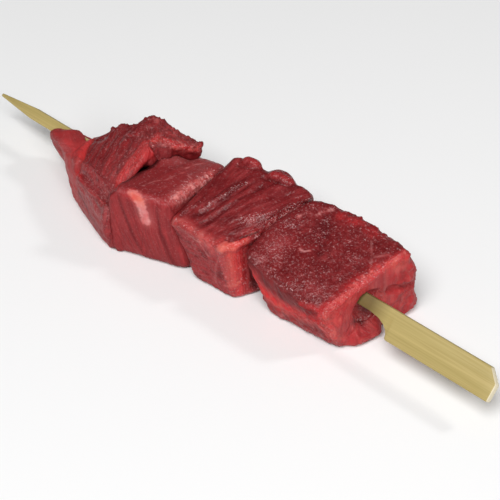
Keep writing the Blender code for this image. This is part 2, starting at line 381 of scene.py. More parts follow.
def raw_beef():
    """Wet lean meat: fine fibres along each cut's grain, with fatty places and its own red, mauve and dark tones, plus
    painted shade in clefts and creases, painted light on lit rims and end faces, painted sheen on the lower sides and
    painted glints.
    """
    finish = Finish("raw_beef")
    run = finish.vector_layer("run")
    fibre = finish.grain(1.0, 2.0, vector=finish.stretched((0.11, 1.9, 1.9), run))
    bundle = finish.grain(1.0, 2.0, vector=finish.stretched((0.06, 0.70, 0.70), run))
    streak = finish.grain(1.0, 2.0, vector=finish.stretched((0.035, 0.30, 0.30), run))
    speck = finish.grain(1900.0, 2.0)
    curl = finish.grain(620.0, 1.0, distortion=0.5)
    mottle = finish.grain(420.0, 3.0)
    cloud = finish.grain(120.0, 2.0)
    lean = finish.blend(finish.ramp(cloud, 0.35, 0.65), LEAN_DARK, LEAN_LIGHT)
    # dark red mask: partly the meat's own dark tone, partly painted shade in creases and between the pieces
    lean = finish.blend(finish.layer("deep_and_shade"), lean, DEEP_RED_AND_SHADE)
    # vivid red mask: partly the meat's own colour, partly painted light on lit rims and end faces
    lean = finish.blend(finish.layer("bright_and_lit"), lean, BRIGHT_RED_AND_LIT)
    # mauve mask: partly the meat's own tone, partly painted sheen from the floor on the lower sides
    lean = finish.blend(finish.layer("mauve_and_sheen"), lean, MAUVE_AND_SHEEN)
    drawn = finish.ramp(finish.layer("smooth"), 0.0, 1.0, 1.0, 0.15)
    pale_strands = finish.maths("MULTIPLY", drawn, finish.ramp(bundle, 0.45, 0.65, 0.0, 0.55))
    dark_strands = finish.maths("MULTIPLY", drawn, finish.ramp(streak, 0.36, 0.52, 0.60, 0.0))
    fine_strands = finish.maths("MULTIPLY", drawn, finish.ramp(fibre, 0.35, 0.65, 0.35, 0.0))
    lean = finish.blend(pale_strands, lean, LEAN_FIBRE)
    lean = finish.blend(dark_strands, lean, DEEP_RED_AND_SHADE)
    lean = finish.blend(fine_strands, lean, DEEP_RED_AND_SHADE)
    # whitish broken squiggles, partly painted glints
    line = finish.ramp(finish.maths("ABSOLUTE", finish.maths("SUBTRACT", curl, 0.5), 0.0), 0.0, 0.04, 1.0, 0.0)
    broken = finish.maths("MULTIPLY", line, finish.ramp(speck, 0.42, 0.62))
    frost_and_glint = finish.maths("MULTIPLY", finish.layer("frost_and_glint"), broken)
    lean = finish.blend(frost_and_glint, lean, FROST_AND_GLINT)
    # painted glints: small light pink specks where the skin is wet
    painted_glint_share = finish.ramp(finish.layer("wet"), 0.3, 0.9, 0.0, 0.6)
    painted_glint = finish.maths("MULTIPLY", finish.ramp(finish.grain(1500.0, 1.0), 0.62, 0.70), painted_glint_share)
    lean = finish.blend(painted_glint, lean, GLINT)
    # colour of the fatty parts, also laid where highlights are painted
    fat_and_highlight_colour = finish.blend(finish.layer("bright_and_lit"), FAT_PINK_AND_HIGHLIGHT, FAT_ORANGE)
    fat_and_highlight_colour = finish.blend(finish.ramp(mottle, 0.40, 0.65, 0.0, 0.5), fat_and_highlight_colour, BRIGHT_RED_AND_LIT)
    lean = finish.blend(finish.layer("fat_and_highlight"), lean, fat_and_highlight_colour)
    # painted shade: near-black in clefts, folds and hollows
    lean = finish.blend(finish.layer("gap"), lean, PAINTED_SHADE_RED)
    shader = finish.shader
    finish.join(lean, shader.inputs["Base Color"])
    shader.inputs["Subsurface Weight"].default_value = 0.10
    shader.inputs["Subsurface Radius"].default_value = (1.0, 0.25, 0.15)
    shader.inputs["Subsurface Scale"].default_value = 0.0010
    shader.inputs["Specular IOR Level"].default_value = 0.12
    finish.join(finish.ramp(finish.layer("wet"), 0.2, 1.0, 0.06, 0.65), shader.inputs["Coat Weight"])
    shader.inputs["Coat Roughness"].default_value = 0.16
    dull = finish.ramp(finish.grain(650.0, 2.0), 0.35, 0.65, 0.50, 0.64)
    gloss = finish.maths("SUBTRACT", dull, finish.maths("MULTIPLY", finish.layer("wet"), 0.24))
    finish.join(gloss, shader.inputs["Roughness"])
    soft = finish.relief(fibre, 0.18, 0.8)
    sparkle = finish.maths("MULTIPLY", speck, finish.ramp(finish.layer("wet"), 0.25, 0.65, 0.10, 1.0))
    skin = finish.relief(sparkle, 0.24, 1.0, under=soft)
    finish.join(skin, shader.inputs["Normal"])
    finish.join(skin, shader.inputs["Coat Normal"])
    return finish.material


def bamboo():
    finish = Finish("bamboo")
    fine = finish.grain(1.0, 3.0, vector=finish.stretched((60.0, 2600.0, 2600.0)))
    broad = finish.grain(1.0, 2.0, vector=finish.stretched((14.0, 600.0, 600.0)))
    wood = finish.blend(finish.ramp(broad, 0.3, 0.7), (0.40, 0.310, 0.103), (0.51, 0.392, 0.150))
    wood = finish.blend(finish.ramp(fine, 0.35, 0.7, 0.0, 0.5), wood, (0.33, 0.245, 0.072))
    along = finish.nodes.new("ShaderNodeSeparateXYZ")
    finish.join(finish.place, along.inputs["Vector"])
    # darker brown where the handle leaves the meat, fading out by 63.5 mm; none at the tip end
    darker_near_meat = finish.ramp(along.outputs["X"], 57.0 * MM, 63.5 * MM, 0.9, 0.0)
    darker_near_meat = finish.maths("MULTIPLY", darker_near_meat, finish.ramp(along.outputs["X"], 0.0, 10.0 * MM))
    wood = finish.blend(darker_near_meat, wood, (0.13, 0.085, 0.020))
    facing = finish.nodes.new("ShaderNodeSeparateXYZ")
    finish.join(finish.nodes.new("ShaderNodeNewGeometry").outputs["Normal"], facing.inputs["Vector"])
    wood = finish.blend(finish.ramp(facing.outputs["X"], 0.45, 0.60, 0.0, 0.8), wood, (0.82, 0.74, 0.55))
    finish.join(wood, finish.shader.inputs["Base Color"])
    finish.join(finish.ramp(fine, 0.3, 0.7, 0.5, 0.68), finish.shader.inputs["Roughness"])
    finish.join(finish.relief(fine, 0.05, 0.5), finish.shader.inputs["Normal"])
    return finish.material


def pale_floor():
    finish = Finish("pale_floor")
    finish.shader.inputs["Base Color"].default_value = (0.92, 0.92, 0.92, 1.0)
    finish.shader.inputs["Roughness"].default_value = 0.7
    return finish.material


# ---------------------------------------------------------------- the four cuts

def first_cut(material):
    """The tip piece: a smooth nose, a dark grained top, a torn lip, and a flap over the next piece."""
    cut = Cut("beef_1", "first_cut")
    rim = [(-48.5, -14, 13), (-41.5, -17, 13.5), (-35, -19, 14.5), (-28.5, -20.5, 14.5)]
    notch = [(-53.5, -4.5, 17), (-53, -7, 16.5), (-51, -9.5, 16), (-48.5, -13, 13.5)]
    furrow = [(-46, -14, 14), (-39, -16, 15), (-32.5, -18, 16), (-28.5, -19, 15)]
    lip = [(-29.5, -15, 19), (-30.5, -12, 22), (-30.5, -7.5, 24.5), (-31, -1.5, 27)]
    wall = [(-29.5, -13, 20), (-29.5, -9, 22.5), (-29.5, -3, 25), (-29, 2, 26)]
    wall_foot = [(-28, -13, 15.5), (-28.5, -9, 18.5), (-28.5, -2, 19.5), (-28, 5, 19.5)]
    flap_edge = [(-29, 0.5, 28), (-26, 2, 28.5), (-22.5, 3, 28), (-18.5, 8, 26)]
    lip_shine = [(-25.5, 0.3, 28.2), (-22.7, 1.7, 27.6), (-21.1, 3.5, 26.7)]
    lip_shade = [(-28, -7, 21.5), (-26.5, -3, 22), (-25.5, 0, 23)]
    flap_dent = [(-34, 3, 28.5), (-31, 1, 28), (-28.5, 1, 26)]
    back_edge = [(-50, 0, 18), (-46, 3, 22), (-40, 5, 26), (-35, 8.5, 29), (-23, 8, 28.5), (-18, 9, 27)]
    seam = [(-28, -20.5, 14), (-27.8, -21, 8), (-27.5, -20.5, 2)]
    top = cut.facing((-0.2, -0.4, 1), 0.3, 0.6)
    side = cut.facing((-0.3, -1, -0.2), 0.4, 0.6)
    end = cut.facing((1, 0, 0), 0.5, 0.7)
    nose = cut.beside((-48, -14), (-53.5, -3.5), 1.0)
    # Form
    cut.push(0.12 + 0.3 * nose * cut.past(0, -50, -58) + 0.7 * side * cut.past(0, -60, -50))
    cut.shift((0, 3.2, 0.3), cut.blot((-63, -3.8, 16), (7, 5, 4.5)))
    cut.shift((0.4, 1, 0.3), 1.2 * cut.blot((-66, -8.5, 9.5), (6, 4, 5)))
    cut.shift((0, 0, 1), 1.8 * cut.blot((-46.5, 3, 21.5), (7, 7, 7)) + 0.9 * cut.blot((-38, 4, 26), (6, 7, 6)))
    cut.shift((0, 0, -1), 2.0 * cut.blot((-49.5, -1, 18), (4, 4, 5)))
    cut.shift((0.2, 0, -1), 2.4 * cut.blot((-19.5, 6.5, 24), (5, 5, 3.5)))
    cut.shift((0, 0, 1), 0.8 * cut.blot((-20, 10, 27.5), (4, 4, 3)))
    cut.shift((0, -0.3, -1), 1.6 * cut.blot((-26.0, 0.5, 24.5), (5, 4.5, 3)))
    cut.shift((1, -0.2, -0.3), 2.6 * cut.blot((-28.5, -0.8, 22), (4.5, 5, 4.5)))
    cut.shift((0, 0, -1), 0.9 * cut.stroke([(-31, 9, 29), (-20, 9.5, 28)], 3.0))
    cut.shift((1, -0.1, 0), 1.8 * cut.stroke(seam, 3.2))
    cut.push(1.1 * cut.stroke(seam, 2.4))
    cut.shift((0.8, -0.3, -0.6), 1.5 * cut.stroke(wall, 2.8))
    cut.shift((-1, 0, 0), 1.2 * cut.stroke(wall_foot[1:], 3.0))
    cut.push(-0.9 * cut.stroke(notch, 2.2))
    cut.push(-0.4 * cut.stroke(furrow, 1.8) + 0.3 * cut.stroke(rim, 1.8) + 0.4 * cut.stroke(lip, 1.6))
    cut.push(-0.9 * cut.stroke(flap_dent, 2.0) + 0.6 * cut.stroke(flap_edge, 2.4))
    # Grain
    cut.comb([(-45, -14, 14), (-49, 6, 20)])
    cut.comb([(-55, -13, 10), (-40, -18, 6), (-28, -21, 2)], where=side)
    cut.comb([(-29, -10, 10), (-30, -4, 26)], where=end)
    cut.comb([(-68, -3, 12), (-50, -12, 10)], where=nose)
    grained = top * (1.0 - nose)
    cut.push((0.18 * grained + 0.06) * cut.ribs(1.1, 8.0, seed=1))
    cut.push(0.28 * grained * cut.ribs(2.6, 14.0, seed=2) + 0.30 * nose * cut.lumps(4.0, seed=21))
    cut.push(0.16 * nose * cut.ribs(1.0, 5.0, seed=32))
    cut.push(0.22 * end * cut.ribs(0.8, 9.0, seed=22) + 0.25 * side * cut.lumps((8, 8, 2.5), seed=23))
    cut.push(1.20 * cut.stroke(back_edge, 2.6) * cut.lumps(1.5, seed=3))
    cut.push(0.70 * cut.blot((-19, 8, 27), (5, 7, 5)) * cut.lumps(1.6, seed=41))
    cut.push(0.40 * cut.stroke(flap_edge, 2.5) * cut.lumps(1.1, seed=4, octaves=3))
    # Tint
    # painted shade in the notch; the darker top towards the tip is the meat's own tone
    cut.wash("deep_and_shade", 0.30 * grained * cut.past(0, -36, -44) + 0.6 * cut.stroke(notch, 2.0))
    # painted shade low between this piece and the next, and in the furrow
    cut.wash("deep_and_shade", 0.7 * cut.blot((-29, -19, 16), (5, 4, 6)) + 0.5 * cut.stroke(furrow, 2.2))
    # painted shade in the flap's dent; the streaks are the meat's own tone
    cut.wash("deep_and_shade", 0.4 * cut.stroke(flap_dent, 1.5) + 0.3 * grained * step(cut.ribs(1.6, 8.0, seed=46), 0.1, 0.5))
    cut.wash("bright_and_lit", 0.2 * grained * step(cut.ribs(2.0, 8.0, seed=47), 0.1, 0.5))
    # vivid red on the rim and nose, partly painted light
    cut.wash("bright_and_lit", 0.55 * cut.stroke(rim, 1.2) + 0.35 * nose + 0.3 * nose * cut.past(0, -62, -52))
    # painted light: the lit band along the lip and its wall
    cut.wash("bright_and_lit", 0.6 * cut.stroke(lip, 1.8) + 0.8 * cut.stroke(wall, 3.2))
    # painted highlight on the knob of the top
    cut.wash("fat_and_highlight", 0.25 * cut.blot((-35, 7.5, 29.3), (2, 2, 2)))
    # painted light on the flap's lit front edge
    cut.wash("bright_and_lit", 0.8 * cut.stroke(flap_edge, 2.5))
    # painted sheen from the floor on the lower side
    cut.wash("mauve_and_sheen", 0.85 * side * (1.0 - cut.stroke(rim, 2.0)))
    # painted shade in the cleft under the lip
    cut.wash("gap", 1.5 * cut.stroke(wall_foot, 3.5))
    # more vivid red on the nose, partly painted light
    cut.wash("bright_and_lit", 0.3 * nose)
    cut.wash("mauve_and_sheen", 0.4 * nose * cut.past(0, -52, -56))
    cut.wash("fat_and_highlight", 0.06 * nose)
    cut.wash("smooth", 0.4 * nose + 0.3 * end)
    # painted highlights along the flap's edge
    cut.wash("fat_and_highlight", 0.35 * cut.stroke(flap_edge, 2.2) * step(cut.lumps((1.6, 1.6, 1.0), seed=33, octaves=3), -0.1, 0.4))
    # painted highlights on the lip
    cut.wash("fat_and_highlight", 0.50 * cut.stroke(lip_shine, 1.3) * step(cut.lumps(1.0, seed=49), 0.0, 0.4))
    cut.wash("deep_and_shade", 0.7 * cut.stroke(lip_shade, 2.2))
    cut.wash("fat_and_highlight", 0.06 * grained * cut.past(0, -38, -30))
    # frosty squiggles on the top, painted glints on the flap's edge, painted sheen on the side
    cut.wash("frost_and_glint", 0.25 * grained + 0.8 * cut.stroke(flap_edge, 2.4) + 0.4 * side)
    cut.wash("wet", 0.2 + 0.3 * top * (1.0 - 0.5 * nose) + 0.6 * cut.stroke(flap_edge, 3.0))
    cut.done(material)
    return cut


def second_cut(material):
    """The second piece: a smooth top with silverskin lines, a fatty streak, fibres fanning down its front, and painted
    highlights on its glossy wrinkles.
    """
    cut = Cut("beef_2", "second_cut")
    silver = [(-19.5, -14, 24), (-18.7, -10, 24), (-16.5, -6.7, 24), (-16.4, -3, 23.6), (-15.7, -0.4, 23.3)]
    silver_branch = [(-16.8, 1.5, 23), (-16, 4.3, 23.3), (-14.6, 7.5, 23.2)]
    silver_tick = [(-14, -1, 23.5), (-11, -1.5, 23.5)]
    fat_top = [(-20.5, -18.2, 23.6), (-18.6, -17.8, 23), (-16.9, -18, 21.8)]
    fat_strip = [(-16.5, -18.1, 21.3), (-15.6, -18, 18.6), (-14.8, -17.9, 15.5)]
    wrinkles = [(-9, -10.5, 23), (-9.5, -6.5, 23), (-9.5, -1.5, 22.5), (-9, 4.5, 22)]
    corner = [(-8.5, -14, 22), (-8, -14.5, 19.5), (-7.5, -15, 15), (-7, -15, 9)]
    back_top = [(-25.5, -16, 22.5), (-26, -5, 22), (-25, 5, 21)]
    front_edge = [(-23.5, -20, 22.5), (-20, -19, 22.5), (-16, -16.5, 23), (-11.5, -15, 23), (-8.5, -13, 22)]
    seam = [(-25.5, -20.5, 20), (-25.5, -21, 12), (-25, -21, 5), (-24.5, -20.5, 1)]
    top = cut.facing((0, 0, 1), 0.4, 0.7)
    front = cut.facing((0.2, -1, 0), 0.4, 0.6)
    back = cut.facing((-1, 0, 0), 0.5, 0.8)
    # Form
    cut.push(np.full(len(cut.points), 0.12))
    cut.push(-0.4 * cut.stroke(back_top, 2.5) + 0.35 * cut.stroke(wrinkles, 2.5))
    cut.shift((-1.0, 0, 0.1), cut.stroke(back_top, 3.4))
    cut.shift((0, 0, 1), 2.3 * cut.blot((-25, 3, 20.5), (6, 9, 5)))
    cut.shift((-1, -0.2, 0), 1.6 * cut.stroke(seam, 2.8))
    cut.push(1.0 * cut.stroke(seam, 2.2))
    # Grain
    cut.comb([(-20, -15, 23), (-18, 8, 23)])
    cut.comb([(-24, -20, 22), (-20, -20, 10), (-14, -19, -2)], where=front)
    cut.comb([(-12, -16, 22), (-11, -16, 12), (-6, -15, -2)], where=front * cut.past(0, -17, -15))
    cut.push((0.24 * front + 0.02) * cut.ribs(1.2, 10.0, seed=5))
    cut.push(0.18 * front * cut.ribs(3.4, 20.0, seed=6))
    cut.push(0.45 * cut.stroke(wrinkles, 3.2) * cut.lumps((2.4, 1.6, 2.4), seed=7, octaves=3))
    cut.push(0.10 * top * cut.lumps(1.4, seed=34, octaves=3))
    cut.push(0.25 * top * cut.lumps(5.0, seed=8))
    # Tint
    # the darker top is the meat's own tone; painted shade low by the next piece and along the corner
    cut.wash("deep_and_shade", 0.2 * top + 0.8 * cut.blot((-7, -15, 2), (8, 4, 9)) + 0.5 * cut.stroke(corner, 1.5))
    # painted shade in the cleft at the back, under the first piece's lip
    cut.wash("gap", 0.9 * back * cut.past(2, 22, 20) + 0.9 * cut.stroke(back_top, 2.4))
    # painted sheen from the floor on the front; the faint mauve on the top is its own tone
    cut.wash("mauve_and_sheen", 0.45 * front + 0.2 * top)
    # vivid red on the wrinkles and front edge, partly painted light
    cut.wash("bright_and_lit", 0.35 * cut.stroke(wrinkles, 4.0) + 0.3 * cut.stroke(front_edge, 2.0))
    cut.wash("bright_and_lit", 0.7 * cut.stroke(fat_top, 2.4))
    cut.wash("fat_and_highlight", 0.80 * cut.patch(fat_top[1:], 2.7, seed=24) + 0.6 * cut.patch(fat_top[:2], 1.8, seed=27))
    cut.wash("fat_and_highlight", 0.70 * cut.patch(fat_strip, 2.6, seed=25) + 0.25 * cut.stroke(fat_strip, 3.6))
    # the next five washes paint highlights on the glossy wrinkles, with a faint wash over the middle of the top
    cut.wash("fat_and_highlight", 0.55 * cut.stroke(wrinkles, 3.2) * step(cut.lumps((1.8, 1.0, 1.8), seed=26, octaves=3), -0.1, 0.4))
    cut.wash("fat_and_highlight", 0.20 * cut.stroke(wrinkles[:3], 4.0) + 0.10 * top * cut.past(1, -4, 4))
    cut.wash("fat_and_highlight", 0.5 * cut.stroke(wrinkles, 2.2) * step(cut.lumps((1.0, 0.7, 1.0), seed=48), 0.25, 0.5))
    cut.wash("fat_and_highlight", 0.8 * cut.blot((-9.4, -10.9, 23.4), (1.0, 1.8, 1.2)) * step(cut.lumps(0.9, seed=52), -0.2, 0.2))
    cut.wash("fat_and_highlight", 0.6 * cut.blot((-9.4, -6.5, 23.5), (0.9, 2.6, 1.0)) * step(cut.lumps(0.8, seed=53), 0.0, 0.3))
    cut.wash("smooth", 0.9 * top)
    threads = cut.stroke(silver, 0.5) + cut.stroke(silver_branch, 0.45) + cut.stroke(silver_tick, 0.4)
    cut.wash("fat_and_highlight", 0.40 * threads * step(cut.lumps(1.4, seed=28), -0.5, 0.3))
    # frosty squiggles, with painted glints on the wrinkles
    cut.wash("frost_and_glint", 0.2 + 0.6 * cut.stroke(wrinkles, 2.5))
    cut.wash("wet", 0.15 + 0.35 * top + 1.1 * cut.stroke(wrinkles, 3.8))
    # more painted glints on the wrinkles
    cut.wash("frost_and_glint", 0.6 * cut.stroke(wrinkles, 4.0))
    cut.wash("deep_and_shade", 0.22 * front * step(cut.ribs(2.2, 9.0, seed=37), 0.0, 0.5))
    cut.wash("bright_and_lit", 0.35 * front * step(cut.ribs(2.6, 9.0, seed=38), 0.1, 0.5))
    cut.done(material)
    return cut


def third_cut(material):
    """The third piece: long curved fibres over its top, a red rim lightened partly as painted light, a fatty knob and
    two lobes at the back.
    """
    cut = Cut("beef_3", "third_cut")
    rim = [(-5.5, -15, 19), (-1, -15, 19.5), (3.5, -14.5, 19), (8, -14, 18), (12, -13.5, 18)]
    pale_line = [(1.5, -15.5, 18), (5.5, -15.5, 17.5), (7.5, -15.5, 15), (8.5, -15, 14)]
    first_ridge = [(-5.5, -14, 20.5), (-4.5, -9.5, 22), (-3, -7, 22.5)]
    ridge = [(-0.5, -8, 22.5), (0, -5, 23.5), (1.2, -2, 24.5), (2, 2, 25.5), (3.1, 6, 26)]
    crease = [(-1, -11, 21), (1.5, -6, 22.5), (2.6, -1.5, 24), (3.6, 3, 25.5), (4.6, 7, 26)]
    far_crease = [(1.5, -13.5, 20), (4, -8.5, 21.5), (5.5, -2.5, 23.5), (7, 4, 25), (9, 9, 26)]
    glitter = [(11.5, -4, 22), (14, -0.5, 23), (16.5, 1.5, 23), (18.5, 4.5, 23.5), (20.5, 9.5, 24.5), (22.5, 14.5, 24.5)]
    end_edge = [(13, -14.5, 17), (14.5, -10.5, 18.5), (17, -5.5, 18.5), (18.5, -0.5, 20.5), (19.5, 5, 23), (23, 14, 24)]
    fold = [(11.2, -11.5, 19.5), (13.2, -11.2, 20), (14, -9.8, 19.8), (14.6, -7.5, 19.5), (15.5, -5.5, 19.8), (17, -2.6, 20)]
    knob = [(13, -14.6, 19), (13.5, -12.8, 19.5), (14.8, -11.3, 19)]
    knob_end = [(15.7, -9.5, 19.2), (16.2, -6.6, 19.3), (17, -4, 19.3)]
    face = [(14.6, -12.7, 16.2), (15.2, -12.9, 10.8), (15.7, -13, 5.8)]
    face_shade = [(18, -6.8, 15), (18.4, -7, 9.5), (18.9, -7.6, 4)]
    face_glints = [(16.4, -9.5, 15), (16.6, -9.4, 12), (16.8, -10.2, 9.5), (16.7, -11.5, 6)]
    low_line = [(13.5, -14, 4.5), (16.5, -12, 5.5)]
    seam = [(12, -15, 15), (10.5, -14.5, 9), (10, -14, 3.5)]
    lobes = [[(-2, 12.5, 27.5), (1.5, 13.5, 27)], [(8, 13, 27.2), (13.5, 14.8, 26.2)]]
    lobe_creases = [[(-3.5, 9.8, 27), (0, 10.5, 26.8), (3.2, 12.5, 26.6)], [(6, 10.5, 26.8), (10, 11.3, 26.8), (14.5, 13, 26)]]
    top = cut.facing((0, -0.2, 1), 0.4, 0.7)
    front = cut.facing((0, -1, -0.1), 0.5, 0.7)
    end = cut.facing((1, -0.3, 0), 0.4, 0.6)
    # Form
    cut.push(np.full(len(cut.points), 0.12))
    cut.push(0.45 * cut.stroke(ridge, 1.6, 2.0) - 0.7 * cut.stroke(crease, 1.5, 2.0))
    cut.push(0.3 * cut.stroke(first_ridge, 1.4, 1.5) - 0.45 * cut.stroke(far_crease, 1.4, 2.0))
    cut.push(0.5 * cut.stroke(rim, 2.5) + 1.2 * cut.stroke(knob, 2.6) + 0.8 * cut.stroke(knob_end, 2.0))
    cut.push(0.5 * cut.stroke(glitter, 2.0, 1.0) + 1.3 * cut.blot((18, 15, 25), (7, 6, 6)))
    cut.push(-0.9 * cut.stroke(fold, 0.9, 1.0) + 0.5 * cut.stroke(knob_end, 1.6))
    cut.shift((-1.2, 0, 0.5), cut.stroke(end_edge, 3.0) * cut.past(1, -4, 0))
    cut.shift((-0.7, -0.7, 0), 1.1 * cut.blot((3, -15, 3), (8, 5, 7)))
    for lobe, lobe_crease in zip(lobes, lobe_creases):
        cut.push(0.9 * cut.stroke(lobe, 2.4) - 0.6 * cut.stroke(lobe_crease, 1.0))
    # Grain
    cut.fan((-6, -60), 60.0)
    cut.endwise(1, where=front)
    cut.comb([(16, -10, 20), (17, -10, -2)], where=end)
    calm = cut.stroke(rim, 5.0)
    cut.push((0.12 * top + 0.06) * (1.0 - calm) * cut.ribs(1.0, 14.0, seed=9))
    cut.push(0.20 * top * (1.0 - calm) * cut.ribs(2.8, 30.0, seed=10))
    cut.push(0.30 * front * cut.lumps((1.6, 1.6, 1.1), seed=11))
    cut.push(0.25 * (cut.stroke(glitter, 2.8) + cut.stroke(end_edge, 2.0)) * cut.lumps(1.6, seed=12, octaves=3))
    cut.push(0.16 * (cut.stroke(rim, 3.5) + end) * cut.lumps(1.8, seed=35, octaves=3))
    # Tint
    # the darker top is the meat's own tone; painted shade in the creases
    cut.wash("deep_and_shade", 0.2 * top + 0.8 * cut.stroke(crease, 1.4) + 0.7 * cut.stroke(far_crease, 1.4))
    cut.wash("deep_and_shade", 0.5 * top * step(cut.ribs(1.8, 16.0, seed=44), 0.15, 0.6))
    cut.wash("mauve_and_sheen", 0.5 * top * step(cut.ribs(2.6, 16.0, seed=45), 0.1, 0.6))
    cut.wash("deep_and_shade", 0.6 * cut.stroke(face_shade, 3.0) * end)
    # painted shade in the fold and on the end face where the handle piece shades it
    cut.wash("gap", 0.85 * cut.stroke(fold, 0.75, 0.6) + 0.6 * cut.stroke(face_shade, 3.0) * end)
    cut.wash("smooth", 0.5 * cut.stroke(rim, 4.5) + 0.6 * cut.stroke(knob, 3.0) + 0.3 * end + 0.6 * cut.stroke(fold, 2.0))
    # painted sheen from the floor on the front
    cut.wash("mauve_and_sheen", 0.85 * front * (1.0 - cut.stroke(rim, 1.8)))
    # vivid red on the rim and end face, partly painted light
    cut.wash("bright_and_lit", 0.60 * cut.stroke(rim, 3.8) + 0.95 * end * cut.past(1, -6.5, -9.5))
    cut.wash("bright_and_lit", 0.6 * cut.stroke(knob, 2.4) + 0.6 * cut.stroke(knob_end, 2.4))
    cut.wash("fat_and_highlight", 0.14 * cut.stroke(rim, 3.5) + 0.22 * cut.stroke(rim, 3.0) * step(cut.lumps(3.0, seed=36, octaves=3), 0.0, 0.6))
    for lobe, lobe_crease in zip(lobes, lobe_creases):
        cut.wash("bright_and_lit", 0.35 * cut.stroke(lobe, 2.2))
        # painted shade under each lobe
        cut.wash("gap", 0.3 * cut.stroke(lobe_crease, 0.7))
    cut.wash("fat_and_highlight", 0.55 * cut.patch(knob, 2.6, seed=29) + 0.30 * cut.patch(knob_end, 1.5, seed=30))
    cut.wash("fat_and_highlight", 0.4 * cut.stroke([(13, -14.8, 19), (13.2, -13.8, 19.5)], 1.0) + 0.4 * cut.blot((16.8, -4.4, 19.5), (1.5, 1.5, 1.5)))
    cut.wash("fat_and_highlight", 0.30 * cut.stroke(face, 2.8) + 0.3 * cut.stroke(low_line, 0.6) + 0.35 * cut.stroke(pale_line, 0.5))
    cut.wash("fat_and_highlight", 0.15 * cut.stroke(seam, 0.6))
    cut.wash("fat_and_highlight", 0.75 * cut.stroke(face_glints, 1.4) * step(cut.lumps((0.7, 0.7, 1.2), seed=51), 0.20, 0.45))
    # painted glints along the end edge
    cut.wash("fat_and_highlight", 0.6 * cut.stroke(end_edge[3:], 1.2) * step(cut.lumps(1.0, seed=43), 0.05, 0.4))
    # frosty squiggles, painted glints along the glitter line and painted sheen on the front
    cut.wash("frost_and_glint", 0.15 + 0.7 * cut.stroke(glitter, 1.6) + 0.3 * front)
    cut.wash("wet", 0.15 + 0.25 * top + 0.4 * end + 0.6 * cut.stroke(glitter, 2.4) + 0.6 * cut.stroke(ridge, 1.4))
    cut.wash("wet", 0.4 * cut.stroke(first_ridge, 1.4) + 0.3 * cut.stroke(rim, 3.0))
    cut.done(material)


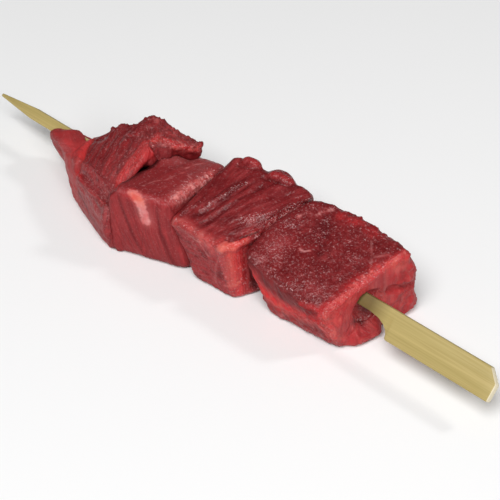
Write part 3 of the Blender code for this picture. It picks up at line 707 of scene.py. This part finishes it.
def fourth_cut(material):
    """The handle piece: a dark cross-grain top, a cut rim lightened partly as painted light, and a hollow where the
    skewer leaves.
    """
    cut = Cut("beef_4", "fourth_cut")
    rim = [(24, -12, 14), (27, -11.5, 9), (33, -11.5, 7.5), (39, -12, 8.5), (45, -13, 11), (50, -13, 12.5)]
    low = [(26, -11, 5), (35, -10.5, 2.5), (46, -10, 3), (52, -9, 3)]
    fat_line = [(24.3, 6.2, 24.5), (25.7, 8.4, 25), (27.9, 9.1, 25), (28.3, 10.8, 25), (28.6, 12.7, 25), (30, 14, 25)]
    crescent = [(31.3, -1.8, 22.5), (32.2, -2.2, 22.3), (33.4, -2, 22.3), (34.9, -0.7, 22.7)]
    crease = [(30.4, 10.6, 24.5), (34.4, 5.9, 24), (34.9, 3.2, 23.3), (38, -0.8, 22.4)]
    star = [[(46.3, 11.9, 25), (50.4, 7.1, 24)], [(50.4, 7.1, 24), (54.2, 11, 24.5)], [(50.4, 7.1, 24), (52.4, 4, 23)]]
    dark_band = [(42.5, -13, 15.5), (48, -12.5, 16), (50, -10.5, 17)]
    end_rim = [(50.5, -12.5, 15.5), (51, -8, 18), (51.5, -5, 19), (52, -1, 20.5), (53, 3.5, 22), (55.5, 10, 23.5)]
    end_rim += [(56.5, 15, 23.5)]
    near_corner = [(51.5, -12, 14), (51.5, -11, 9), (52, -9.5, 5)]
    fold = [(55.9, 7, 15), (57, 11, 13.5), (57.3, 14, 12.5), (58, 18, 11.5)]
    hollow = [(54, 0, 12), (54.5, 1, 8)]
    sill = [(54, -3, 2), (54.5, 0, 2), (55, 3, 2)]
    back_edge = [(27, 14.5, 25.5), (33, 16, 25), (39, 17, 25), (44.5, 17, 25), (50.5, 16, 25), (56, 15, 24)]
    top = cut.facing((0, -0.2, 1), 0.4, 0.7)
    front = cut.facing((0, -1, -0.1), 0.5, 0.7)
    end = cut.facing((1, -0.2, 0), 0.4, 0.6)
    left_edge = [(24.5, 13, 25), (22.4, 3, 22.4), (21.5, -7, 19.6), (22.1, -10.6, 18.5), (23.4, -12.2, 16)]
    lower_front = [(26, -12, 11), (33, -12, 8), (40, -13, 8), (48, -13, 9), (52, -11, 8)]
    # Form
    cut.shift((-2.0, -0.3, 1.3), cut.stroke(left_edge, 5.0))
    cut.push(0.12 + 1.9 * cut.blot((58, 17, 17), (8, 8, 8)))
    cut.push(-0.5 * cut.stroke(crease, 2.6, 2.0) + 0.4 * cut.stroke(rim, 1.6) + 0.6 * cut.stroke(end_rim, 2.6))
    cut.push(-1.3 * cut.stroke(fold, 2.0, 1.0) - 2.2 * cut.stroke(hollow, 4.5))
    cut.shift((1, 0, 0), 1.2 * cut.blot((54, -9, 12), (4, 5, 8)) + 2.6 * cut.stroke(sill, 4.0))
    # Grain
    cut.endwise(2)
    cut.comb([(30, -14, 14), (36, -11, 0)], where=front)
    cut.comb([(55, 6, 24), (55, 6, 0)], where=end)
    cut.push(0.14 * top * cut.lumps(1.5, seed=13, octaves=3) + 0.30 * cut.lumps(5.0, seed=14))
    cut.push((0.16 * end + 0.24 * front) * cut.ribs(1.6, 6.0, seed=15, octaves=3))
    cut.push((0.25 * cut.stroke(end_rim, 2.4) + 0.70 * cut.stroke(back_edge, 2.2)) * cut.lumps(2.0, seed=16, octaves=3))
    cut.push(0.50 * (cut.stroke(low, 3.0) + end * cut.past(1, 8, 14)) * cut.lumps(2.2, seed=17, octaves=3))
    # Tint
    broken = step(cut.lumps(1.4, seed=31, octaves=3), -0.3, 0.3)
    skin = np.maximum(top, front * cut.past(2, 8, 12))
    # the dark top is the meat's own tone; painted shade in the crease and fold
    cut.wash("deep_and_shade", 0.4 * skin + 0.4 * cut.stroke(crease, 2.2) + 0.3 * cut.stroke(fold, 1.2))
    cut.wash("deep_and_shade", 0.4 * cut.blot((31, 6, 23), (6, 6, 4)))
    # painted shade in the hollow where the skewer leaves
    cut.wash("gap", 0.7 * cut.stroke(hollow, 2.6))
    cut.wash("smooth", 0.35 * top + 0.5 * front + 0.5 * end)
    ragged = 0.6 + 0.6 * broken
    # vivid red on the rims, near corner and end face, partly painted light
    cut.wash("bright_and_lit", ragged * (0.85 * cut.stroke(rim, 4.5) + 0.7 * cut.stroke(end_rim, 3.4)))
    cut.wash("bright_and_lit", 1.0 * cut.stroke(near_corner, 4.5) + 0.5 * cut.blot((50, -12, 16), (4, 3, 3)))
    cut.wash("bright_and_lit", 0.65 * end + 0.6 * cut.stroke(dark_band, 1.6) + 0.5 * cut.stroke(lower_front, 5.0))
    # painted sheen from the floor on the lower front and end
    cut.wash("mauve_and_sheen", 0.9 * front * cut.past(2, 6, 2) + 0.35 * end)
    cut.wash("fat_and_highlight", 0.16 * (end + cut.stroke(lower_front, 5.0)) * step(cut.ribs(1.8, 5.0, seed=39), 0.0, 0.5))
    cut.wash("deep_and_shade", 0.40 * (end + front) * step(cut.ribs(2.4, 6.0, seed=40), 0.0, 0.6))
    cut.wash("fat_and_highlight", 0.25 * front * cut.past(2, 12, 8) * step(cut.lumps(1.6, seed=42, octaves=3), 0.0, 0.6))
    for line in star:
        cut.wash("fat_and_highlight", 0.22 * cut.stroke(line, 0.5, 0.8))
    cut.wash("bright_and_lit", 0.6 * cut.stroke([(34, 14, 25), (40, 15, 25), (46, 14.5, 25)], 3.5) * (0.4 + 0.6 * broken))
    cut.wash("mauve_and_sheen", 0.5 * cut.blot((55.4, 5.5, 18.9), (3, 4, 3.5)) + 0.4 * cut.blot((54, -8, 9), (4, 4, 5)))
    cut.wash("fat_and_highlight", 0.35 * cut.stroke([(52.1, -7.8, 17.3), (53.1, -8.8, 13.7), (53, -10.1, 11.5)], 0.7) * broken)
    cut.wash("fat_and_highlight", (0.60 * cut.stroke(fat_line, 0.9) + 0.3 * cut.stroke(star[0][-1:] + star[0][-1:], 1.6)) * broken)
    cut.wash("fat_and_highlight", 0.6 * cut.stroke(crescent, 0.5, 0.3))
    cut.wash("fat_and_highlight", 0.25 * cut.stroke(end_rim, 1.6) * broken + 0.15 * cut.stroke(near_corner, 3.5))
    cut.wash("fat_and_highlight", 0.30 * cut.blot((56.5, 12, 21.5), (3, 5, 3)))
    cut.wash("mauve_and_sheen", top * 0.6 * (cut.blot((26, -5, 20), (6, 8, 6)) + cut.blot((44, -9, 18), (5, 4, 4))))
    cut.wash("frost_and_glint", top * (0.25 + 0.6 * cut.blot((27, -5, 20), (10, 11, 7)) + 0.7 * cut.blot((45, -10, 18), (6, 4, 4))))
    cut.wash("wet", (0.45 + 0.25 * step(cut.lumps(5.0, seed=50), -0.4, 0.4)) * top + 0.35 * end + 0.25 * front + 0.4 * cut.stroke(hollow, 4.0))
    cut.done(material)


# ---------------------------------------------------------------- skewer

def skewer(material):
    """A merged copy of the CAD skewer, with its long edges eased already and its paddle's curve shaded smooth."""
    stick = bmesh.new()
    stick.from_mesh(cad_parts["skewer"].data)
    bmesh.ops.remove_doubles(stick, verts=stick.verts, dist=0.001 * MM)
    faces = [[corner.index for corner in face.verts] for face in stick.faces]
    placed.append(bvhtree.BVHTree.FromPolygons([corner.co / MM for corner in stick.verts], faces))
    mesh = bpy.data.meshes.new("bamboo_skewer")
    stick.to_mesh(mesh)
    stick.free()
    mesh.shade_smooth()
    mesh.set_sharp_from_angle(angle=math.radians(22.0))
    mesh.materials.append(material)
    piece = bpy.data.objects.new("bamboo_skewer", mesh)
    bpy.context.scene.collection.objects.link(piece)
    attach(piece, "root")
    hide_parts("skewer")


# ---------------------------------------------------------------- stage

def floor(material, half=1.5):
    sheet = bmesh.new()
    bmesh.ops.create_grid(sheet, x_segments=1, y_segments=1, size=half)
    mesh = bpy.data.meshes.new("floor")
    sheet.to_mesh(mesh)
    sheet.free()
    mesh.materials.append(material)
    piece = bpy.data.objects.new("floor", mesh)
    bpy.context.scene.collection.objects.link(piece)


def soft_light(name, place, aim, size, power):
    lamp = bpy.data.lights.new(name, "AREA")
    lamp.shape = "DISK"
    lamp.size = size
    lamp.energy = power
    holder = bpy.data.objects.new(name, lamp)
    holder.location = place
    holder.rotation_euler = (Vector(aim) - Vector(place)).to_track_quat("-Z", "Y").to_euler()
    bpy.context.scene.collection.objects.link(holder)


def studio():
    world = bpy.data.worlds.new("studio")
    world.use_nodes = True
    world.node_tree.nodes["Background"].inputs["Color"].default_value = (1.0, 1.0, 1.0, 1.0)
    world.node_tree.nodes["Background"].inputs["Strength"].default_value = WORLD_LIGHT
    bpy.context.scene.world = world
    middle = (0.0, 0.0, 0.01)
    soft_light("overhead", (0.30, -0.75, 1.25), middle, 0.80, TOP_LIGHT)
    soft_light("key", (1.00, -0.45, 0.80), middle, 0.50, KEY_LIGHT)
    soft_light("glint", (0.70, 0.75, 0.95), middle, 0.20, GLINT_LIGHT)
    bpy.context.scene.view_settings.view_transform = "Standard"


def camera():
    lens = bpy.data.cameras.new("camera")
    lens.lens = 103.64
    lens.sensor_width = 36.0
    holder = bpy.data.objects.new("camera", lens)
    place = Vector((0.22930, -0.23798, 0.29052))
    aim = Vector((0.01004, 0.00076, 0.00681))
    holder.location = place
    holder.rotation_euler = (aim - place).to_track_quat("-Z", "Y").to_euler()
    bpy.context.scene.collection.objects.link(holder)
    bpy.context.scene.camera = holder


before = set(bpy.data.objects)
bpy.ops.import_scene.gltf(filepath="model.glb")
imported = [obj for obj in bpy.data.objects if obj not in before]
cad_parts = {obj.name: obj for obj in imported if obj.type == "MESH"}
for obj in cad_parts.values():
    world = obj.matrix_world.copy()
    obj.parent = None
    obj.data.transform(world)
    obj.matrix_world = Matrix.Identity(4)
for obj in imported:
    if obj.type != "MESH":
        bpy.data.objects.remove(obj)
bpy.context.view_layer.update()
beef = raw_beef()
skewer(bamboo())
first = first_cut(beef)
second = second_cut(beef)
first.make_way(second.skin())
third_cut(beef)
fourth_cut(beef)
floor(pale_floor())
studio()
camera()
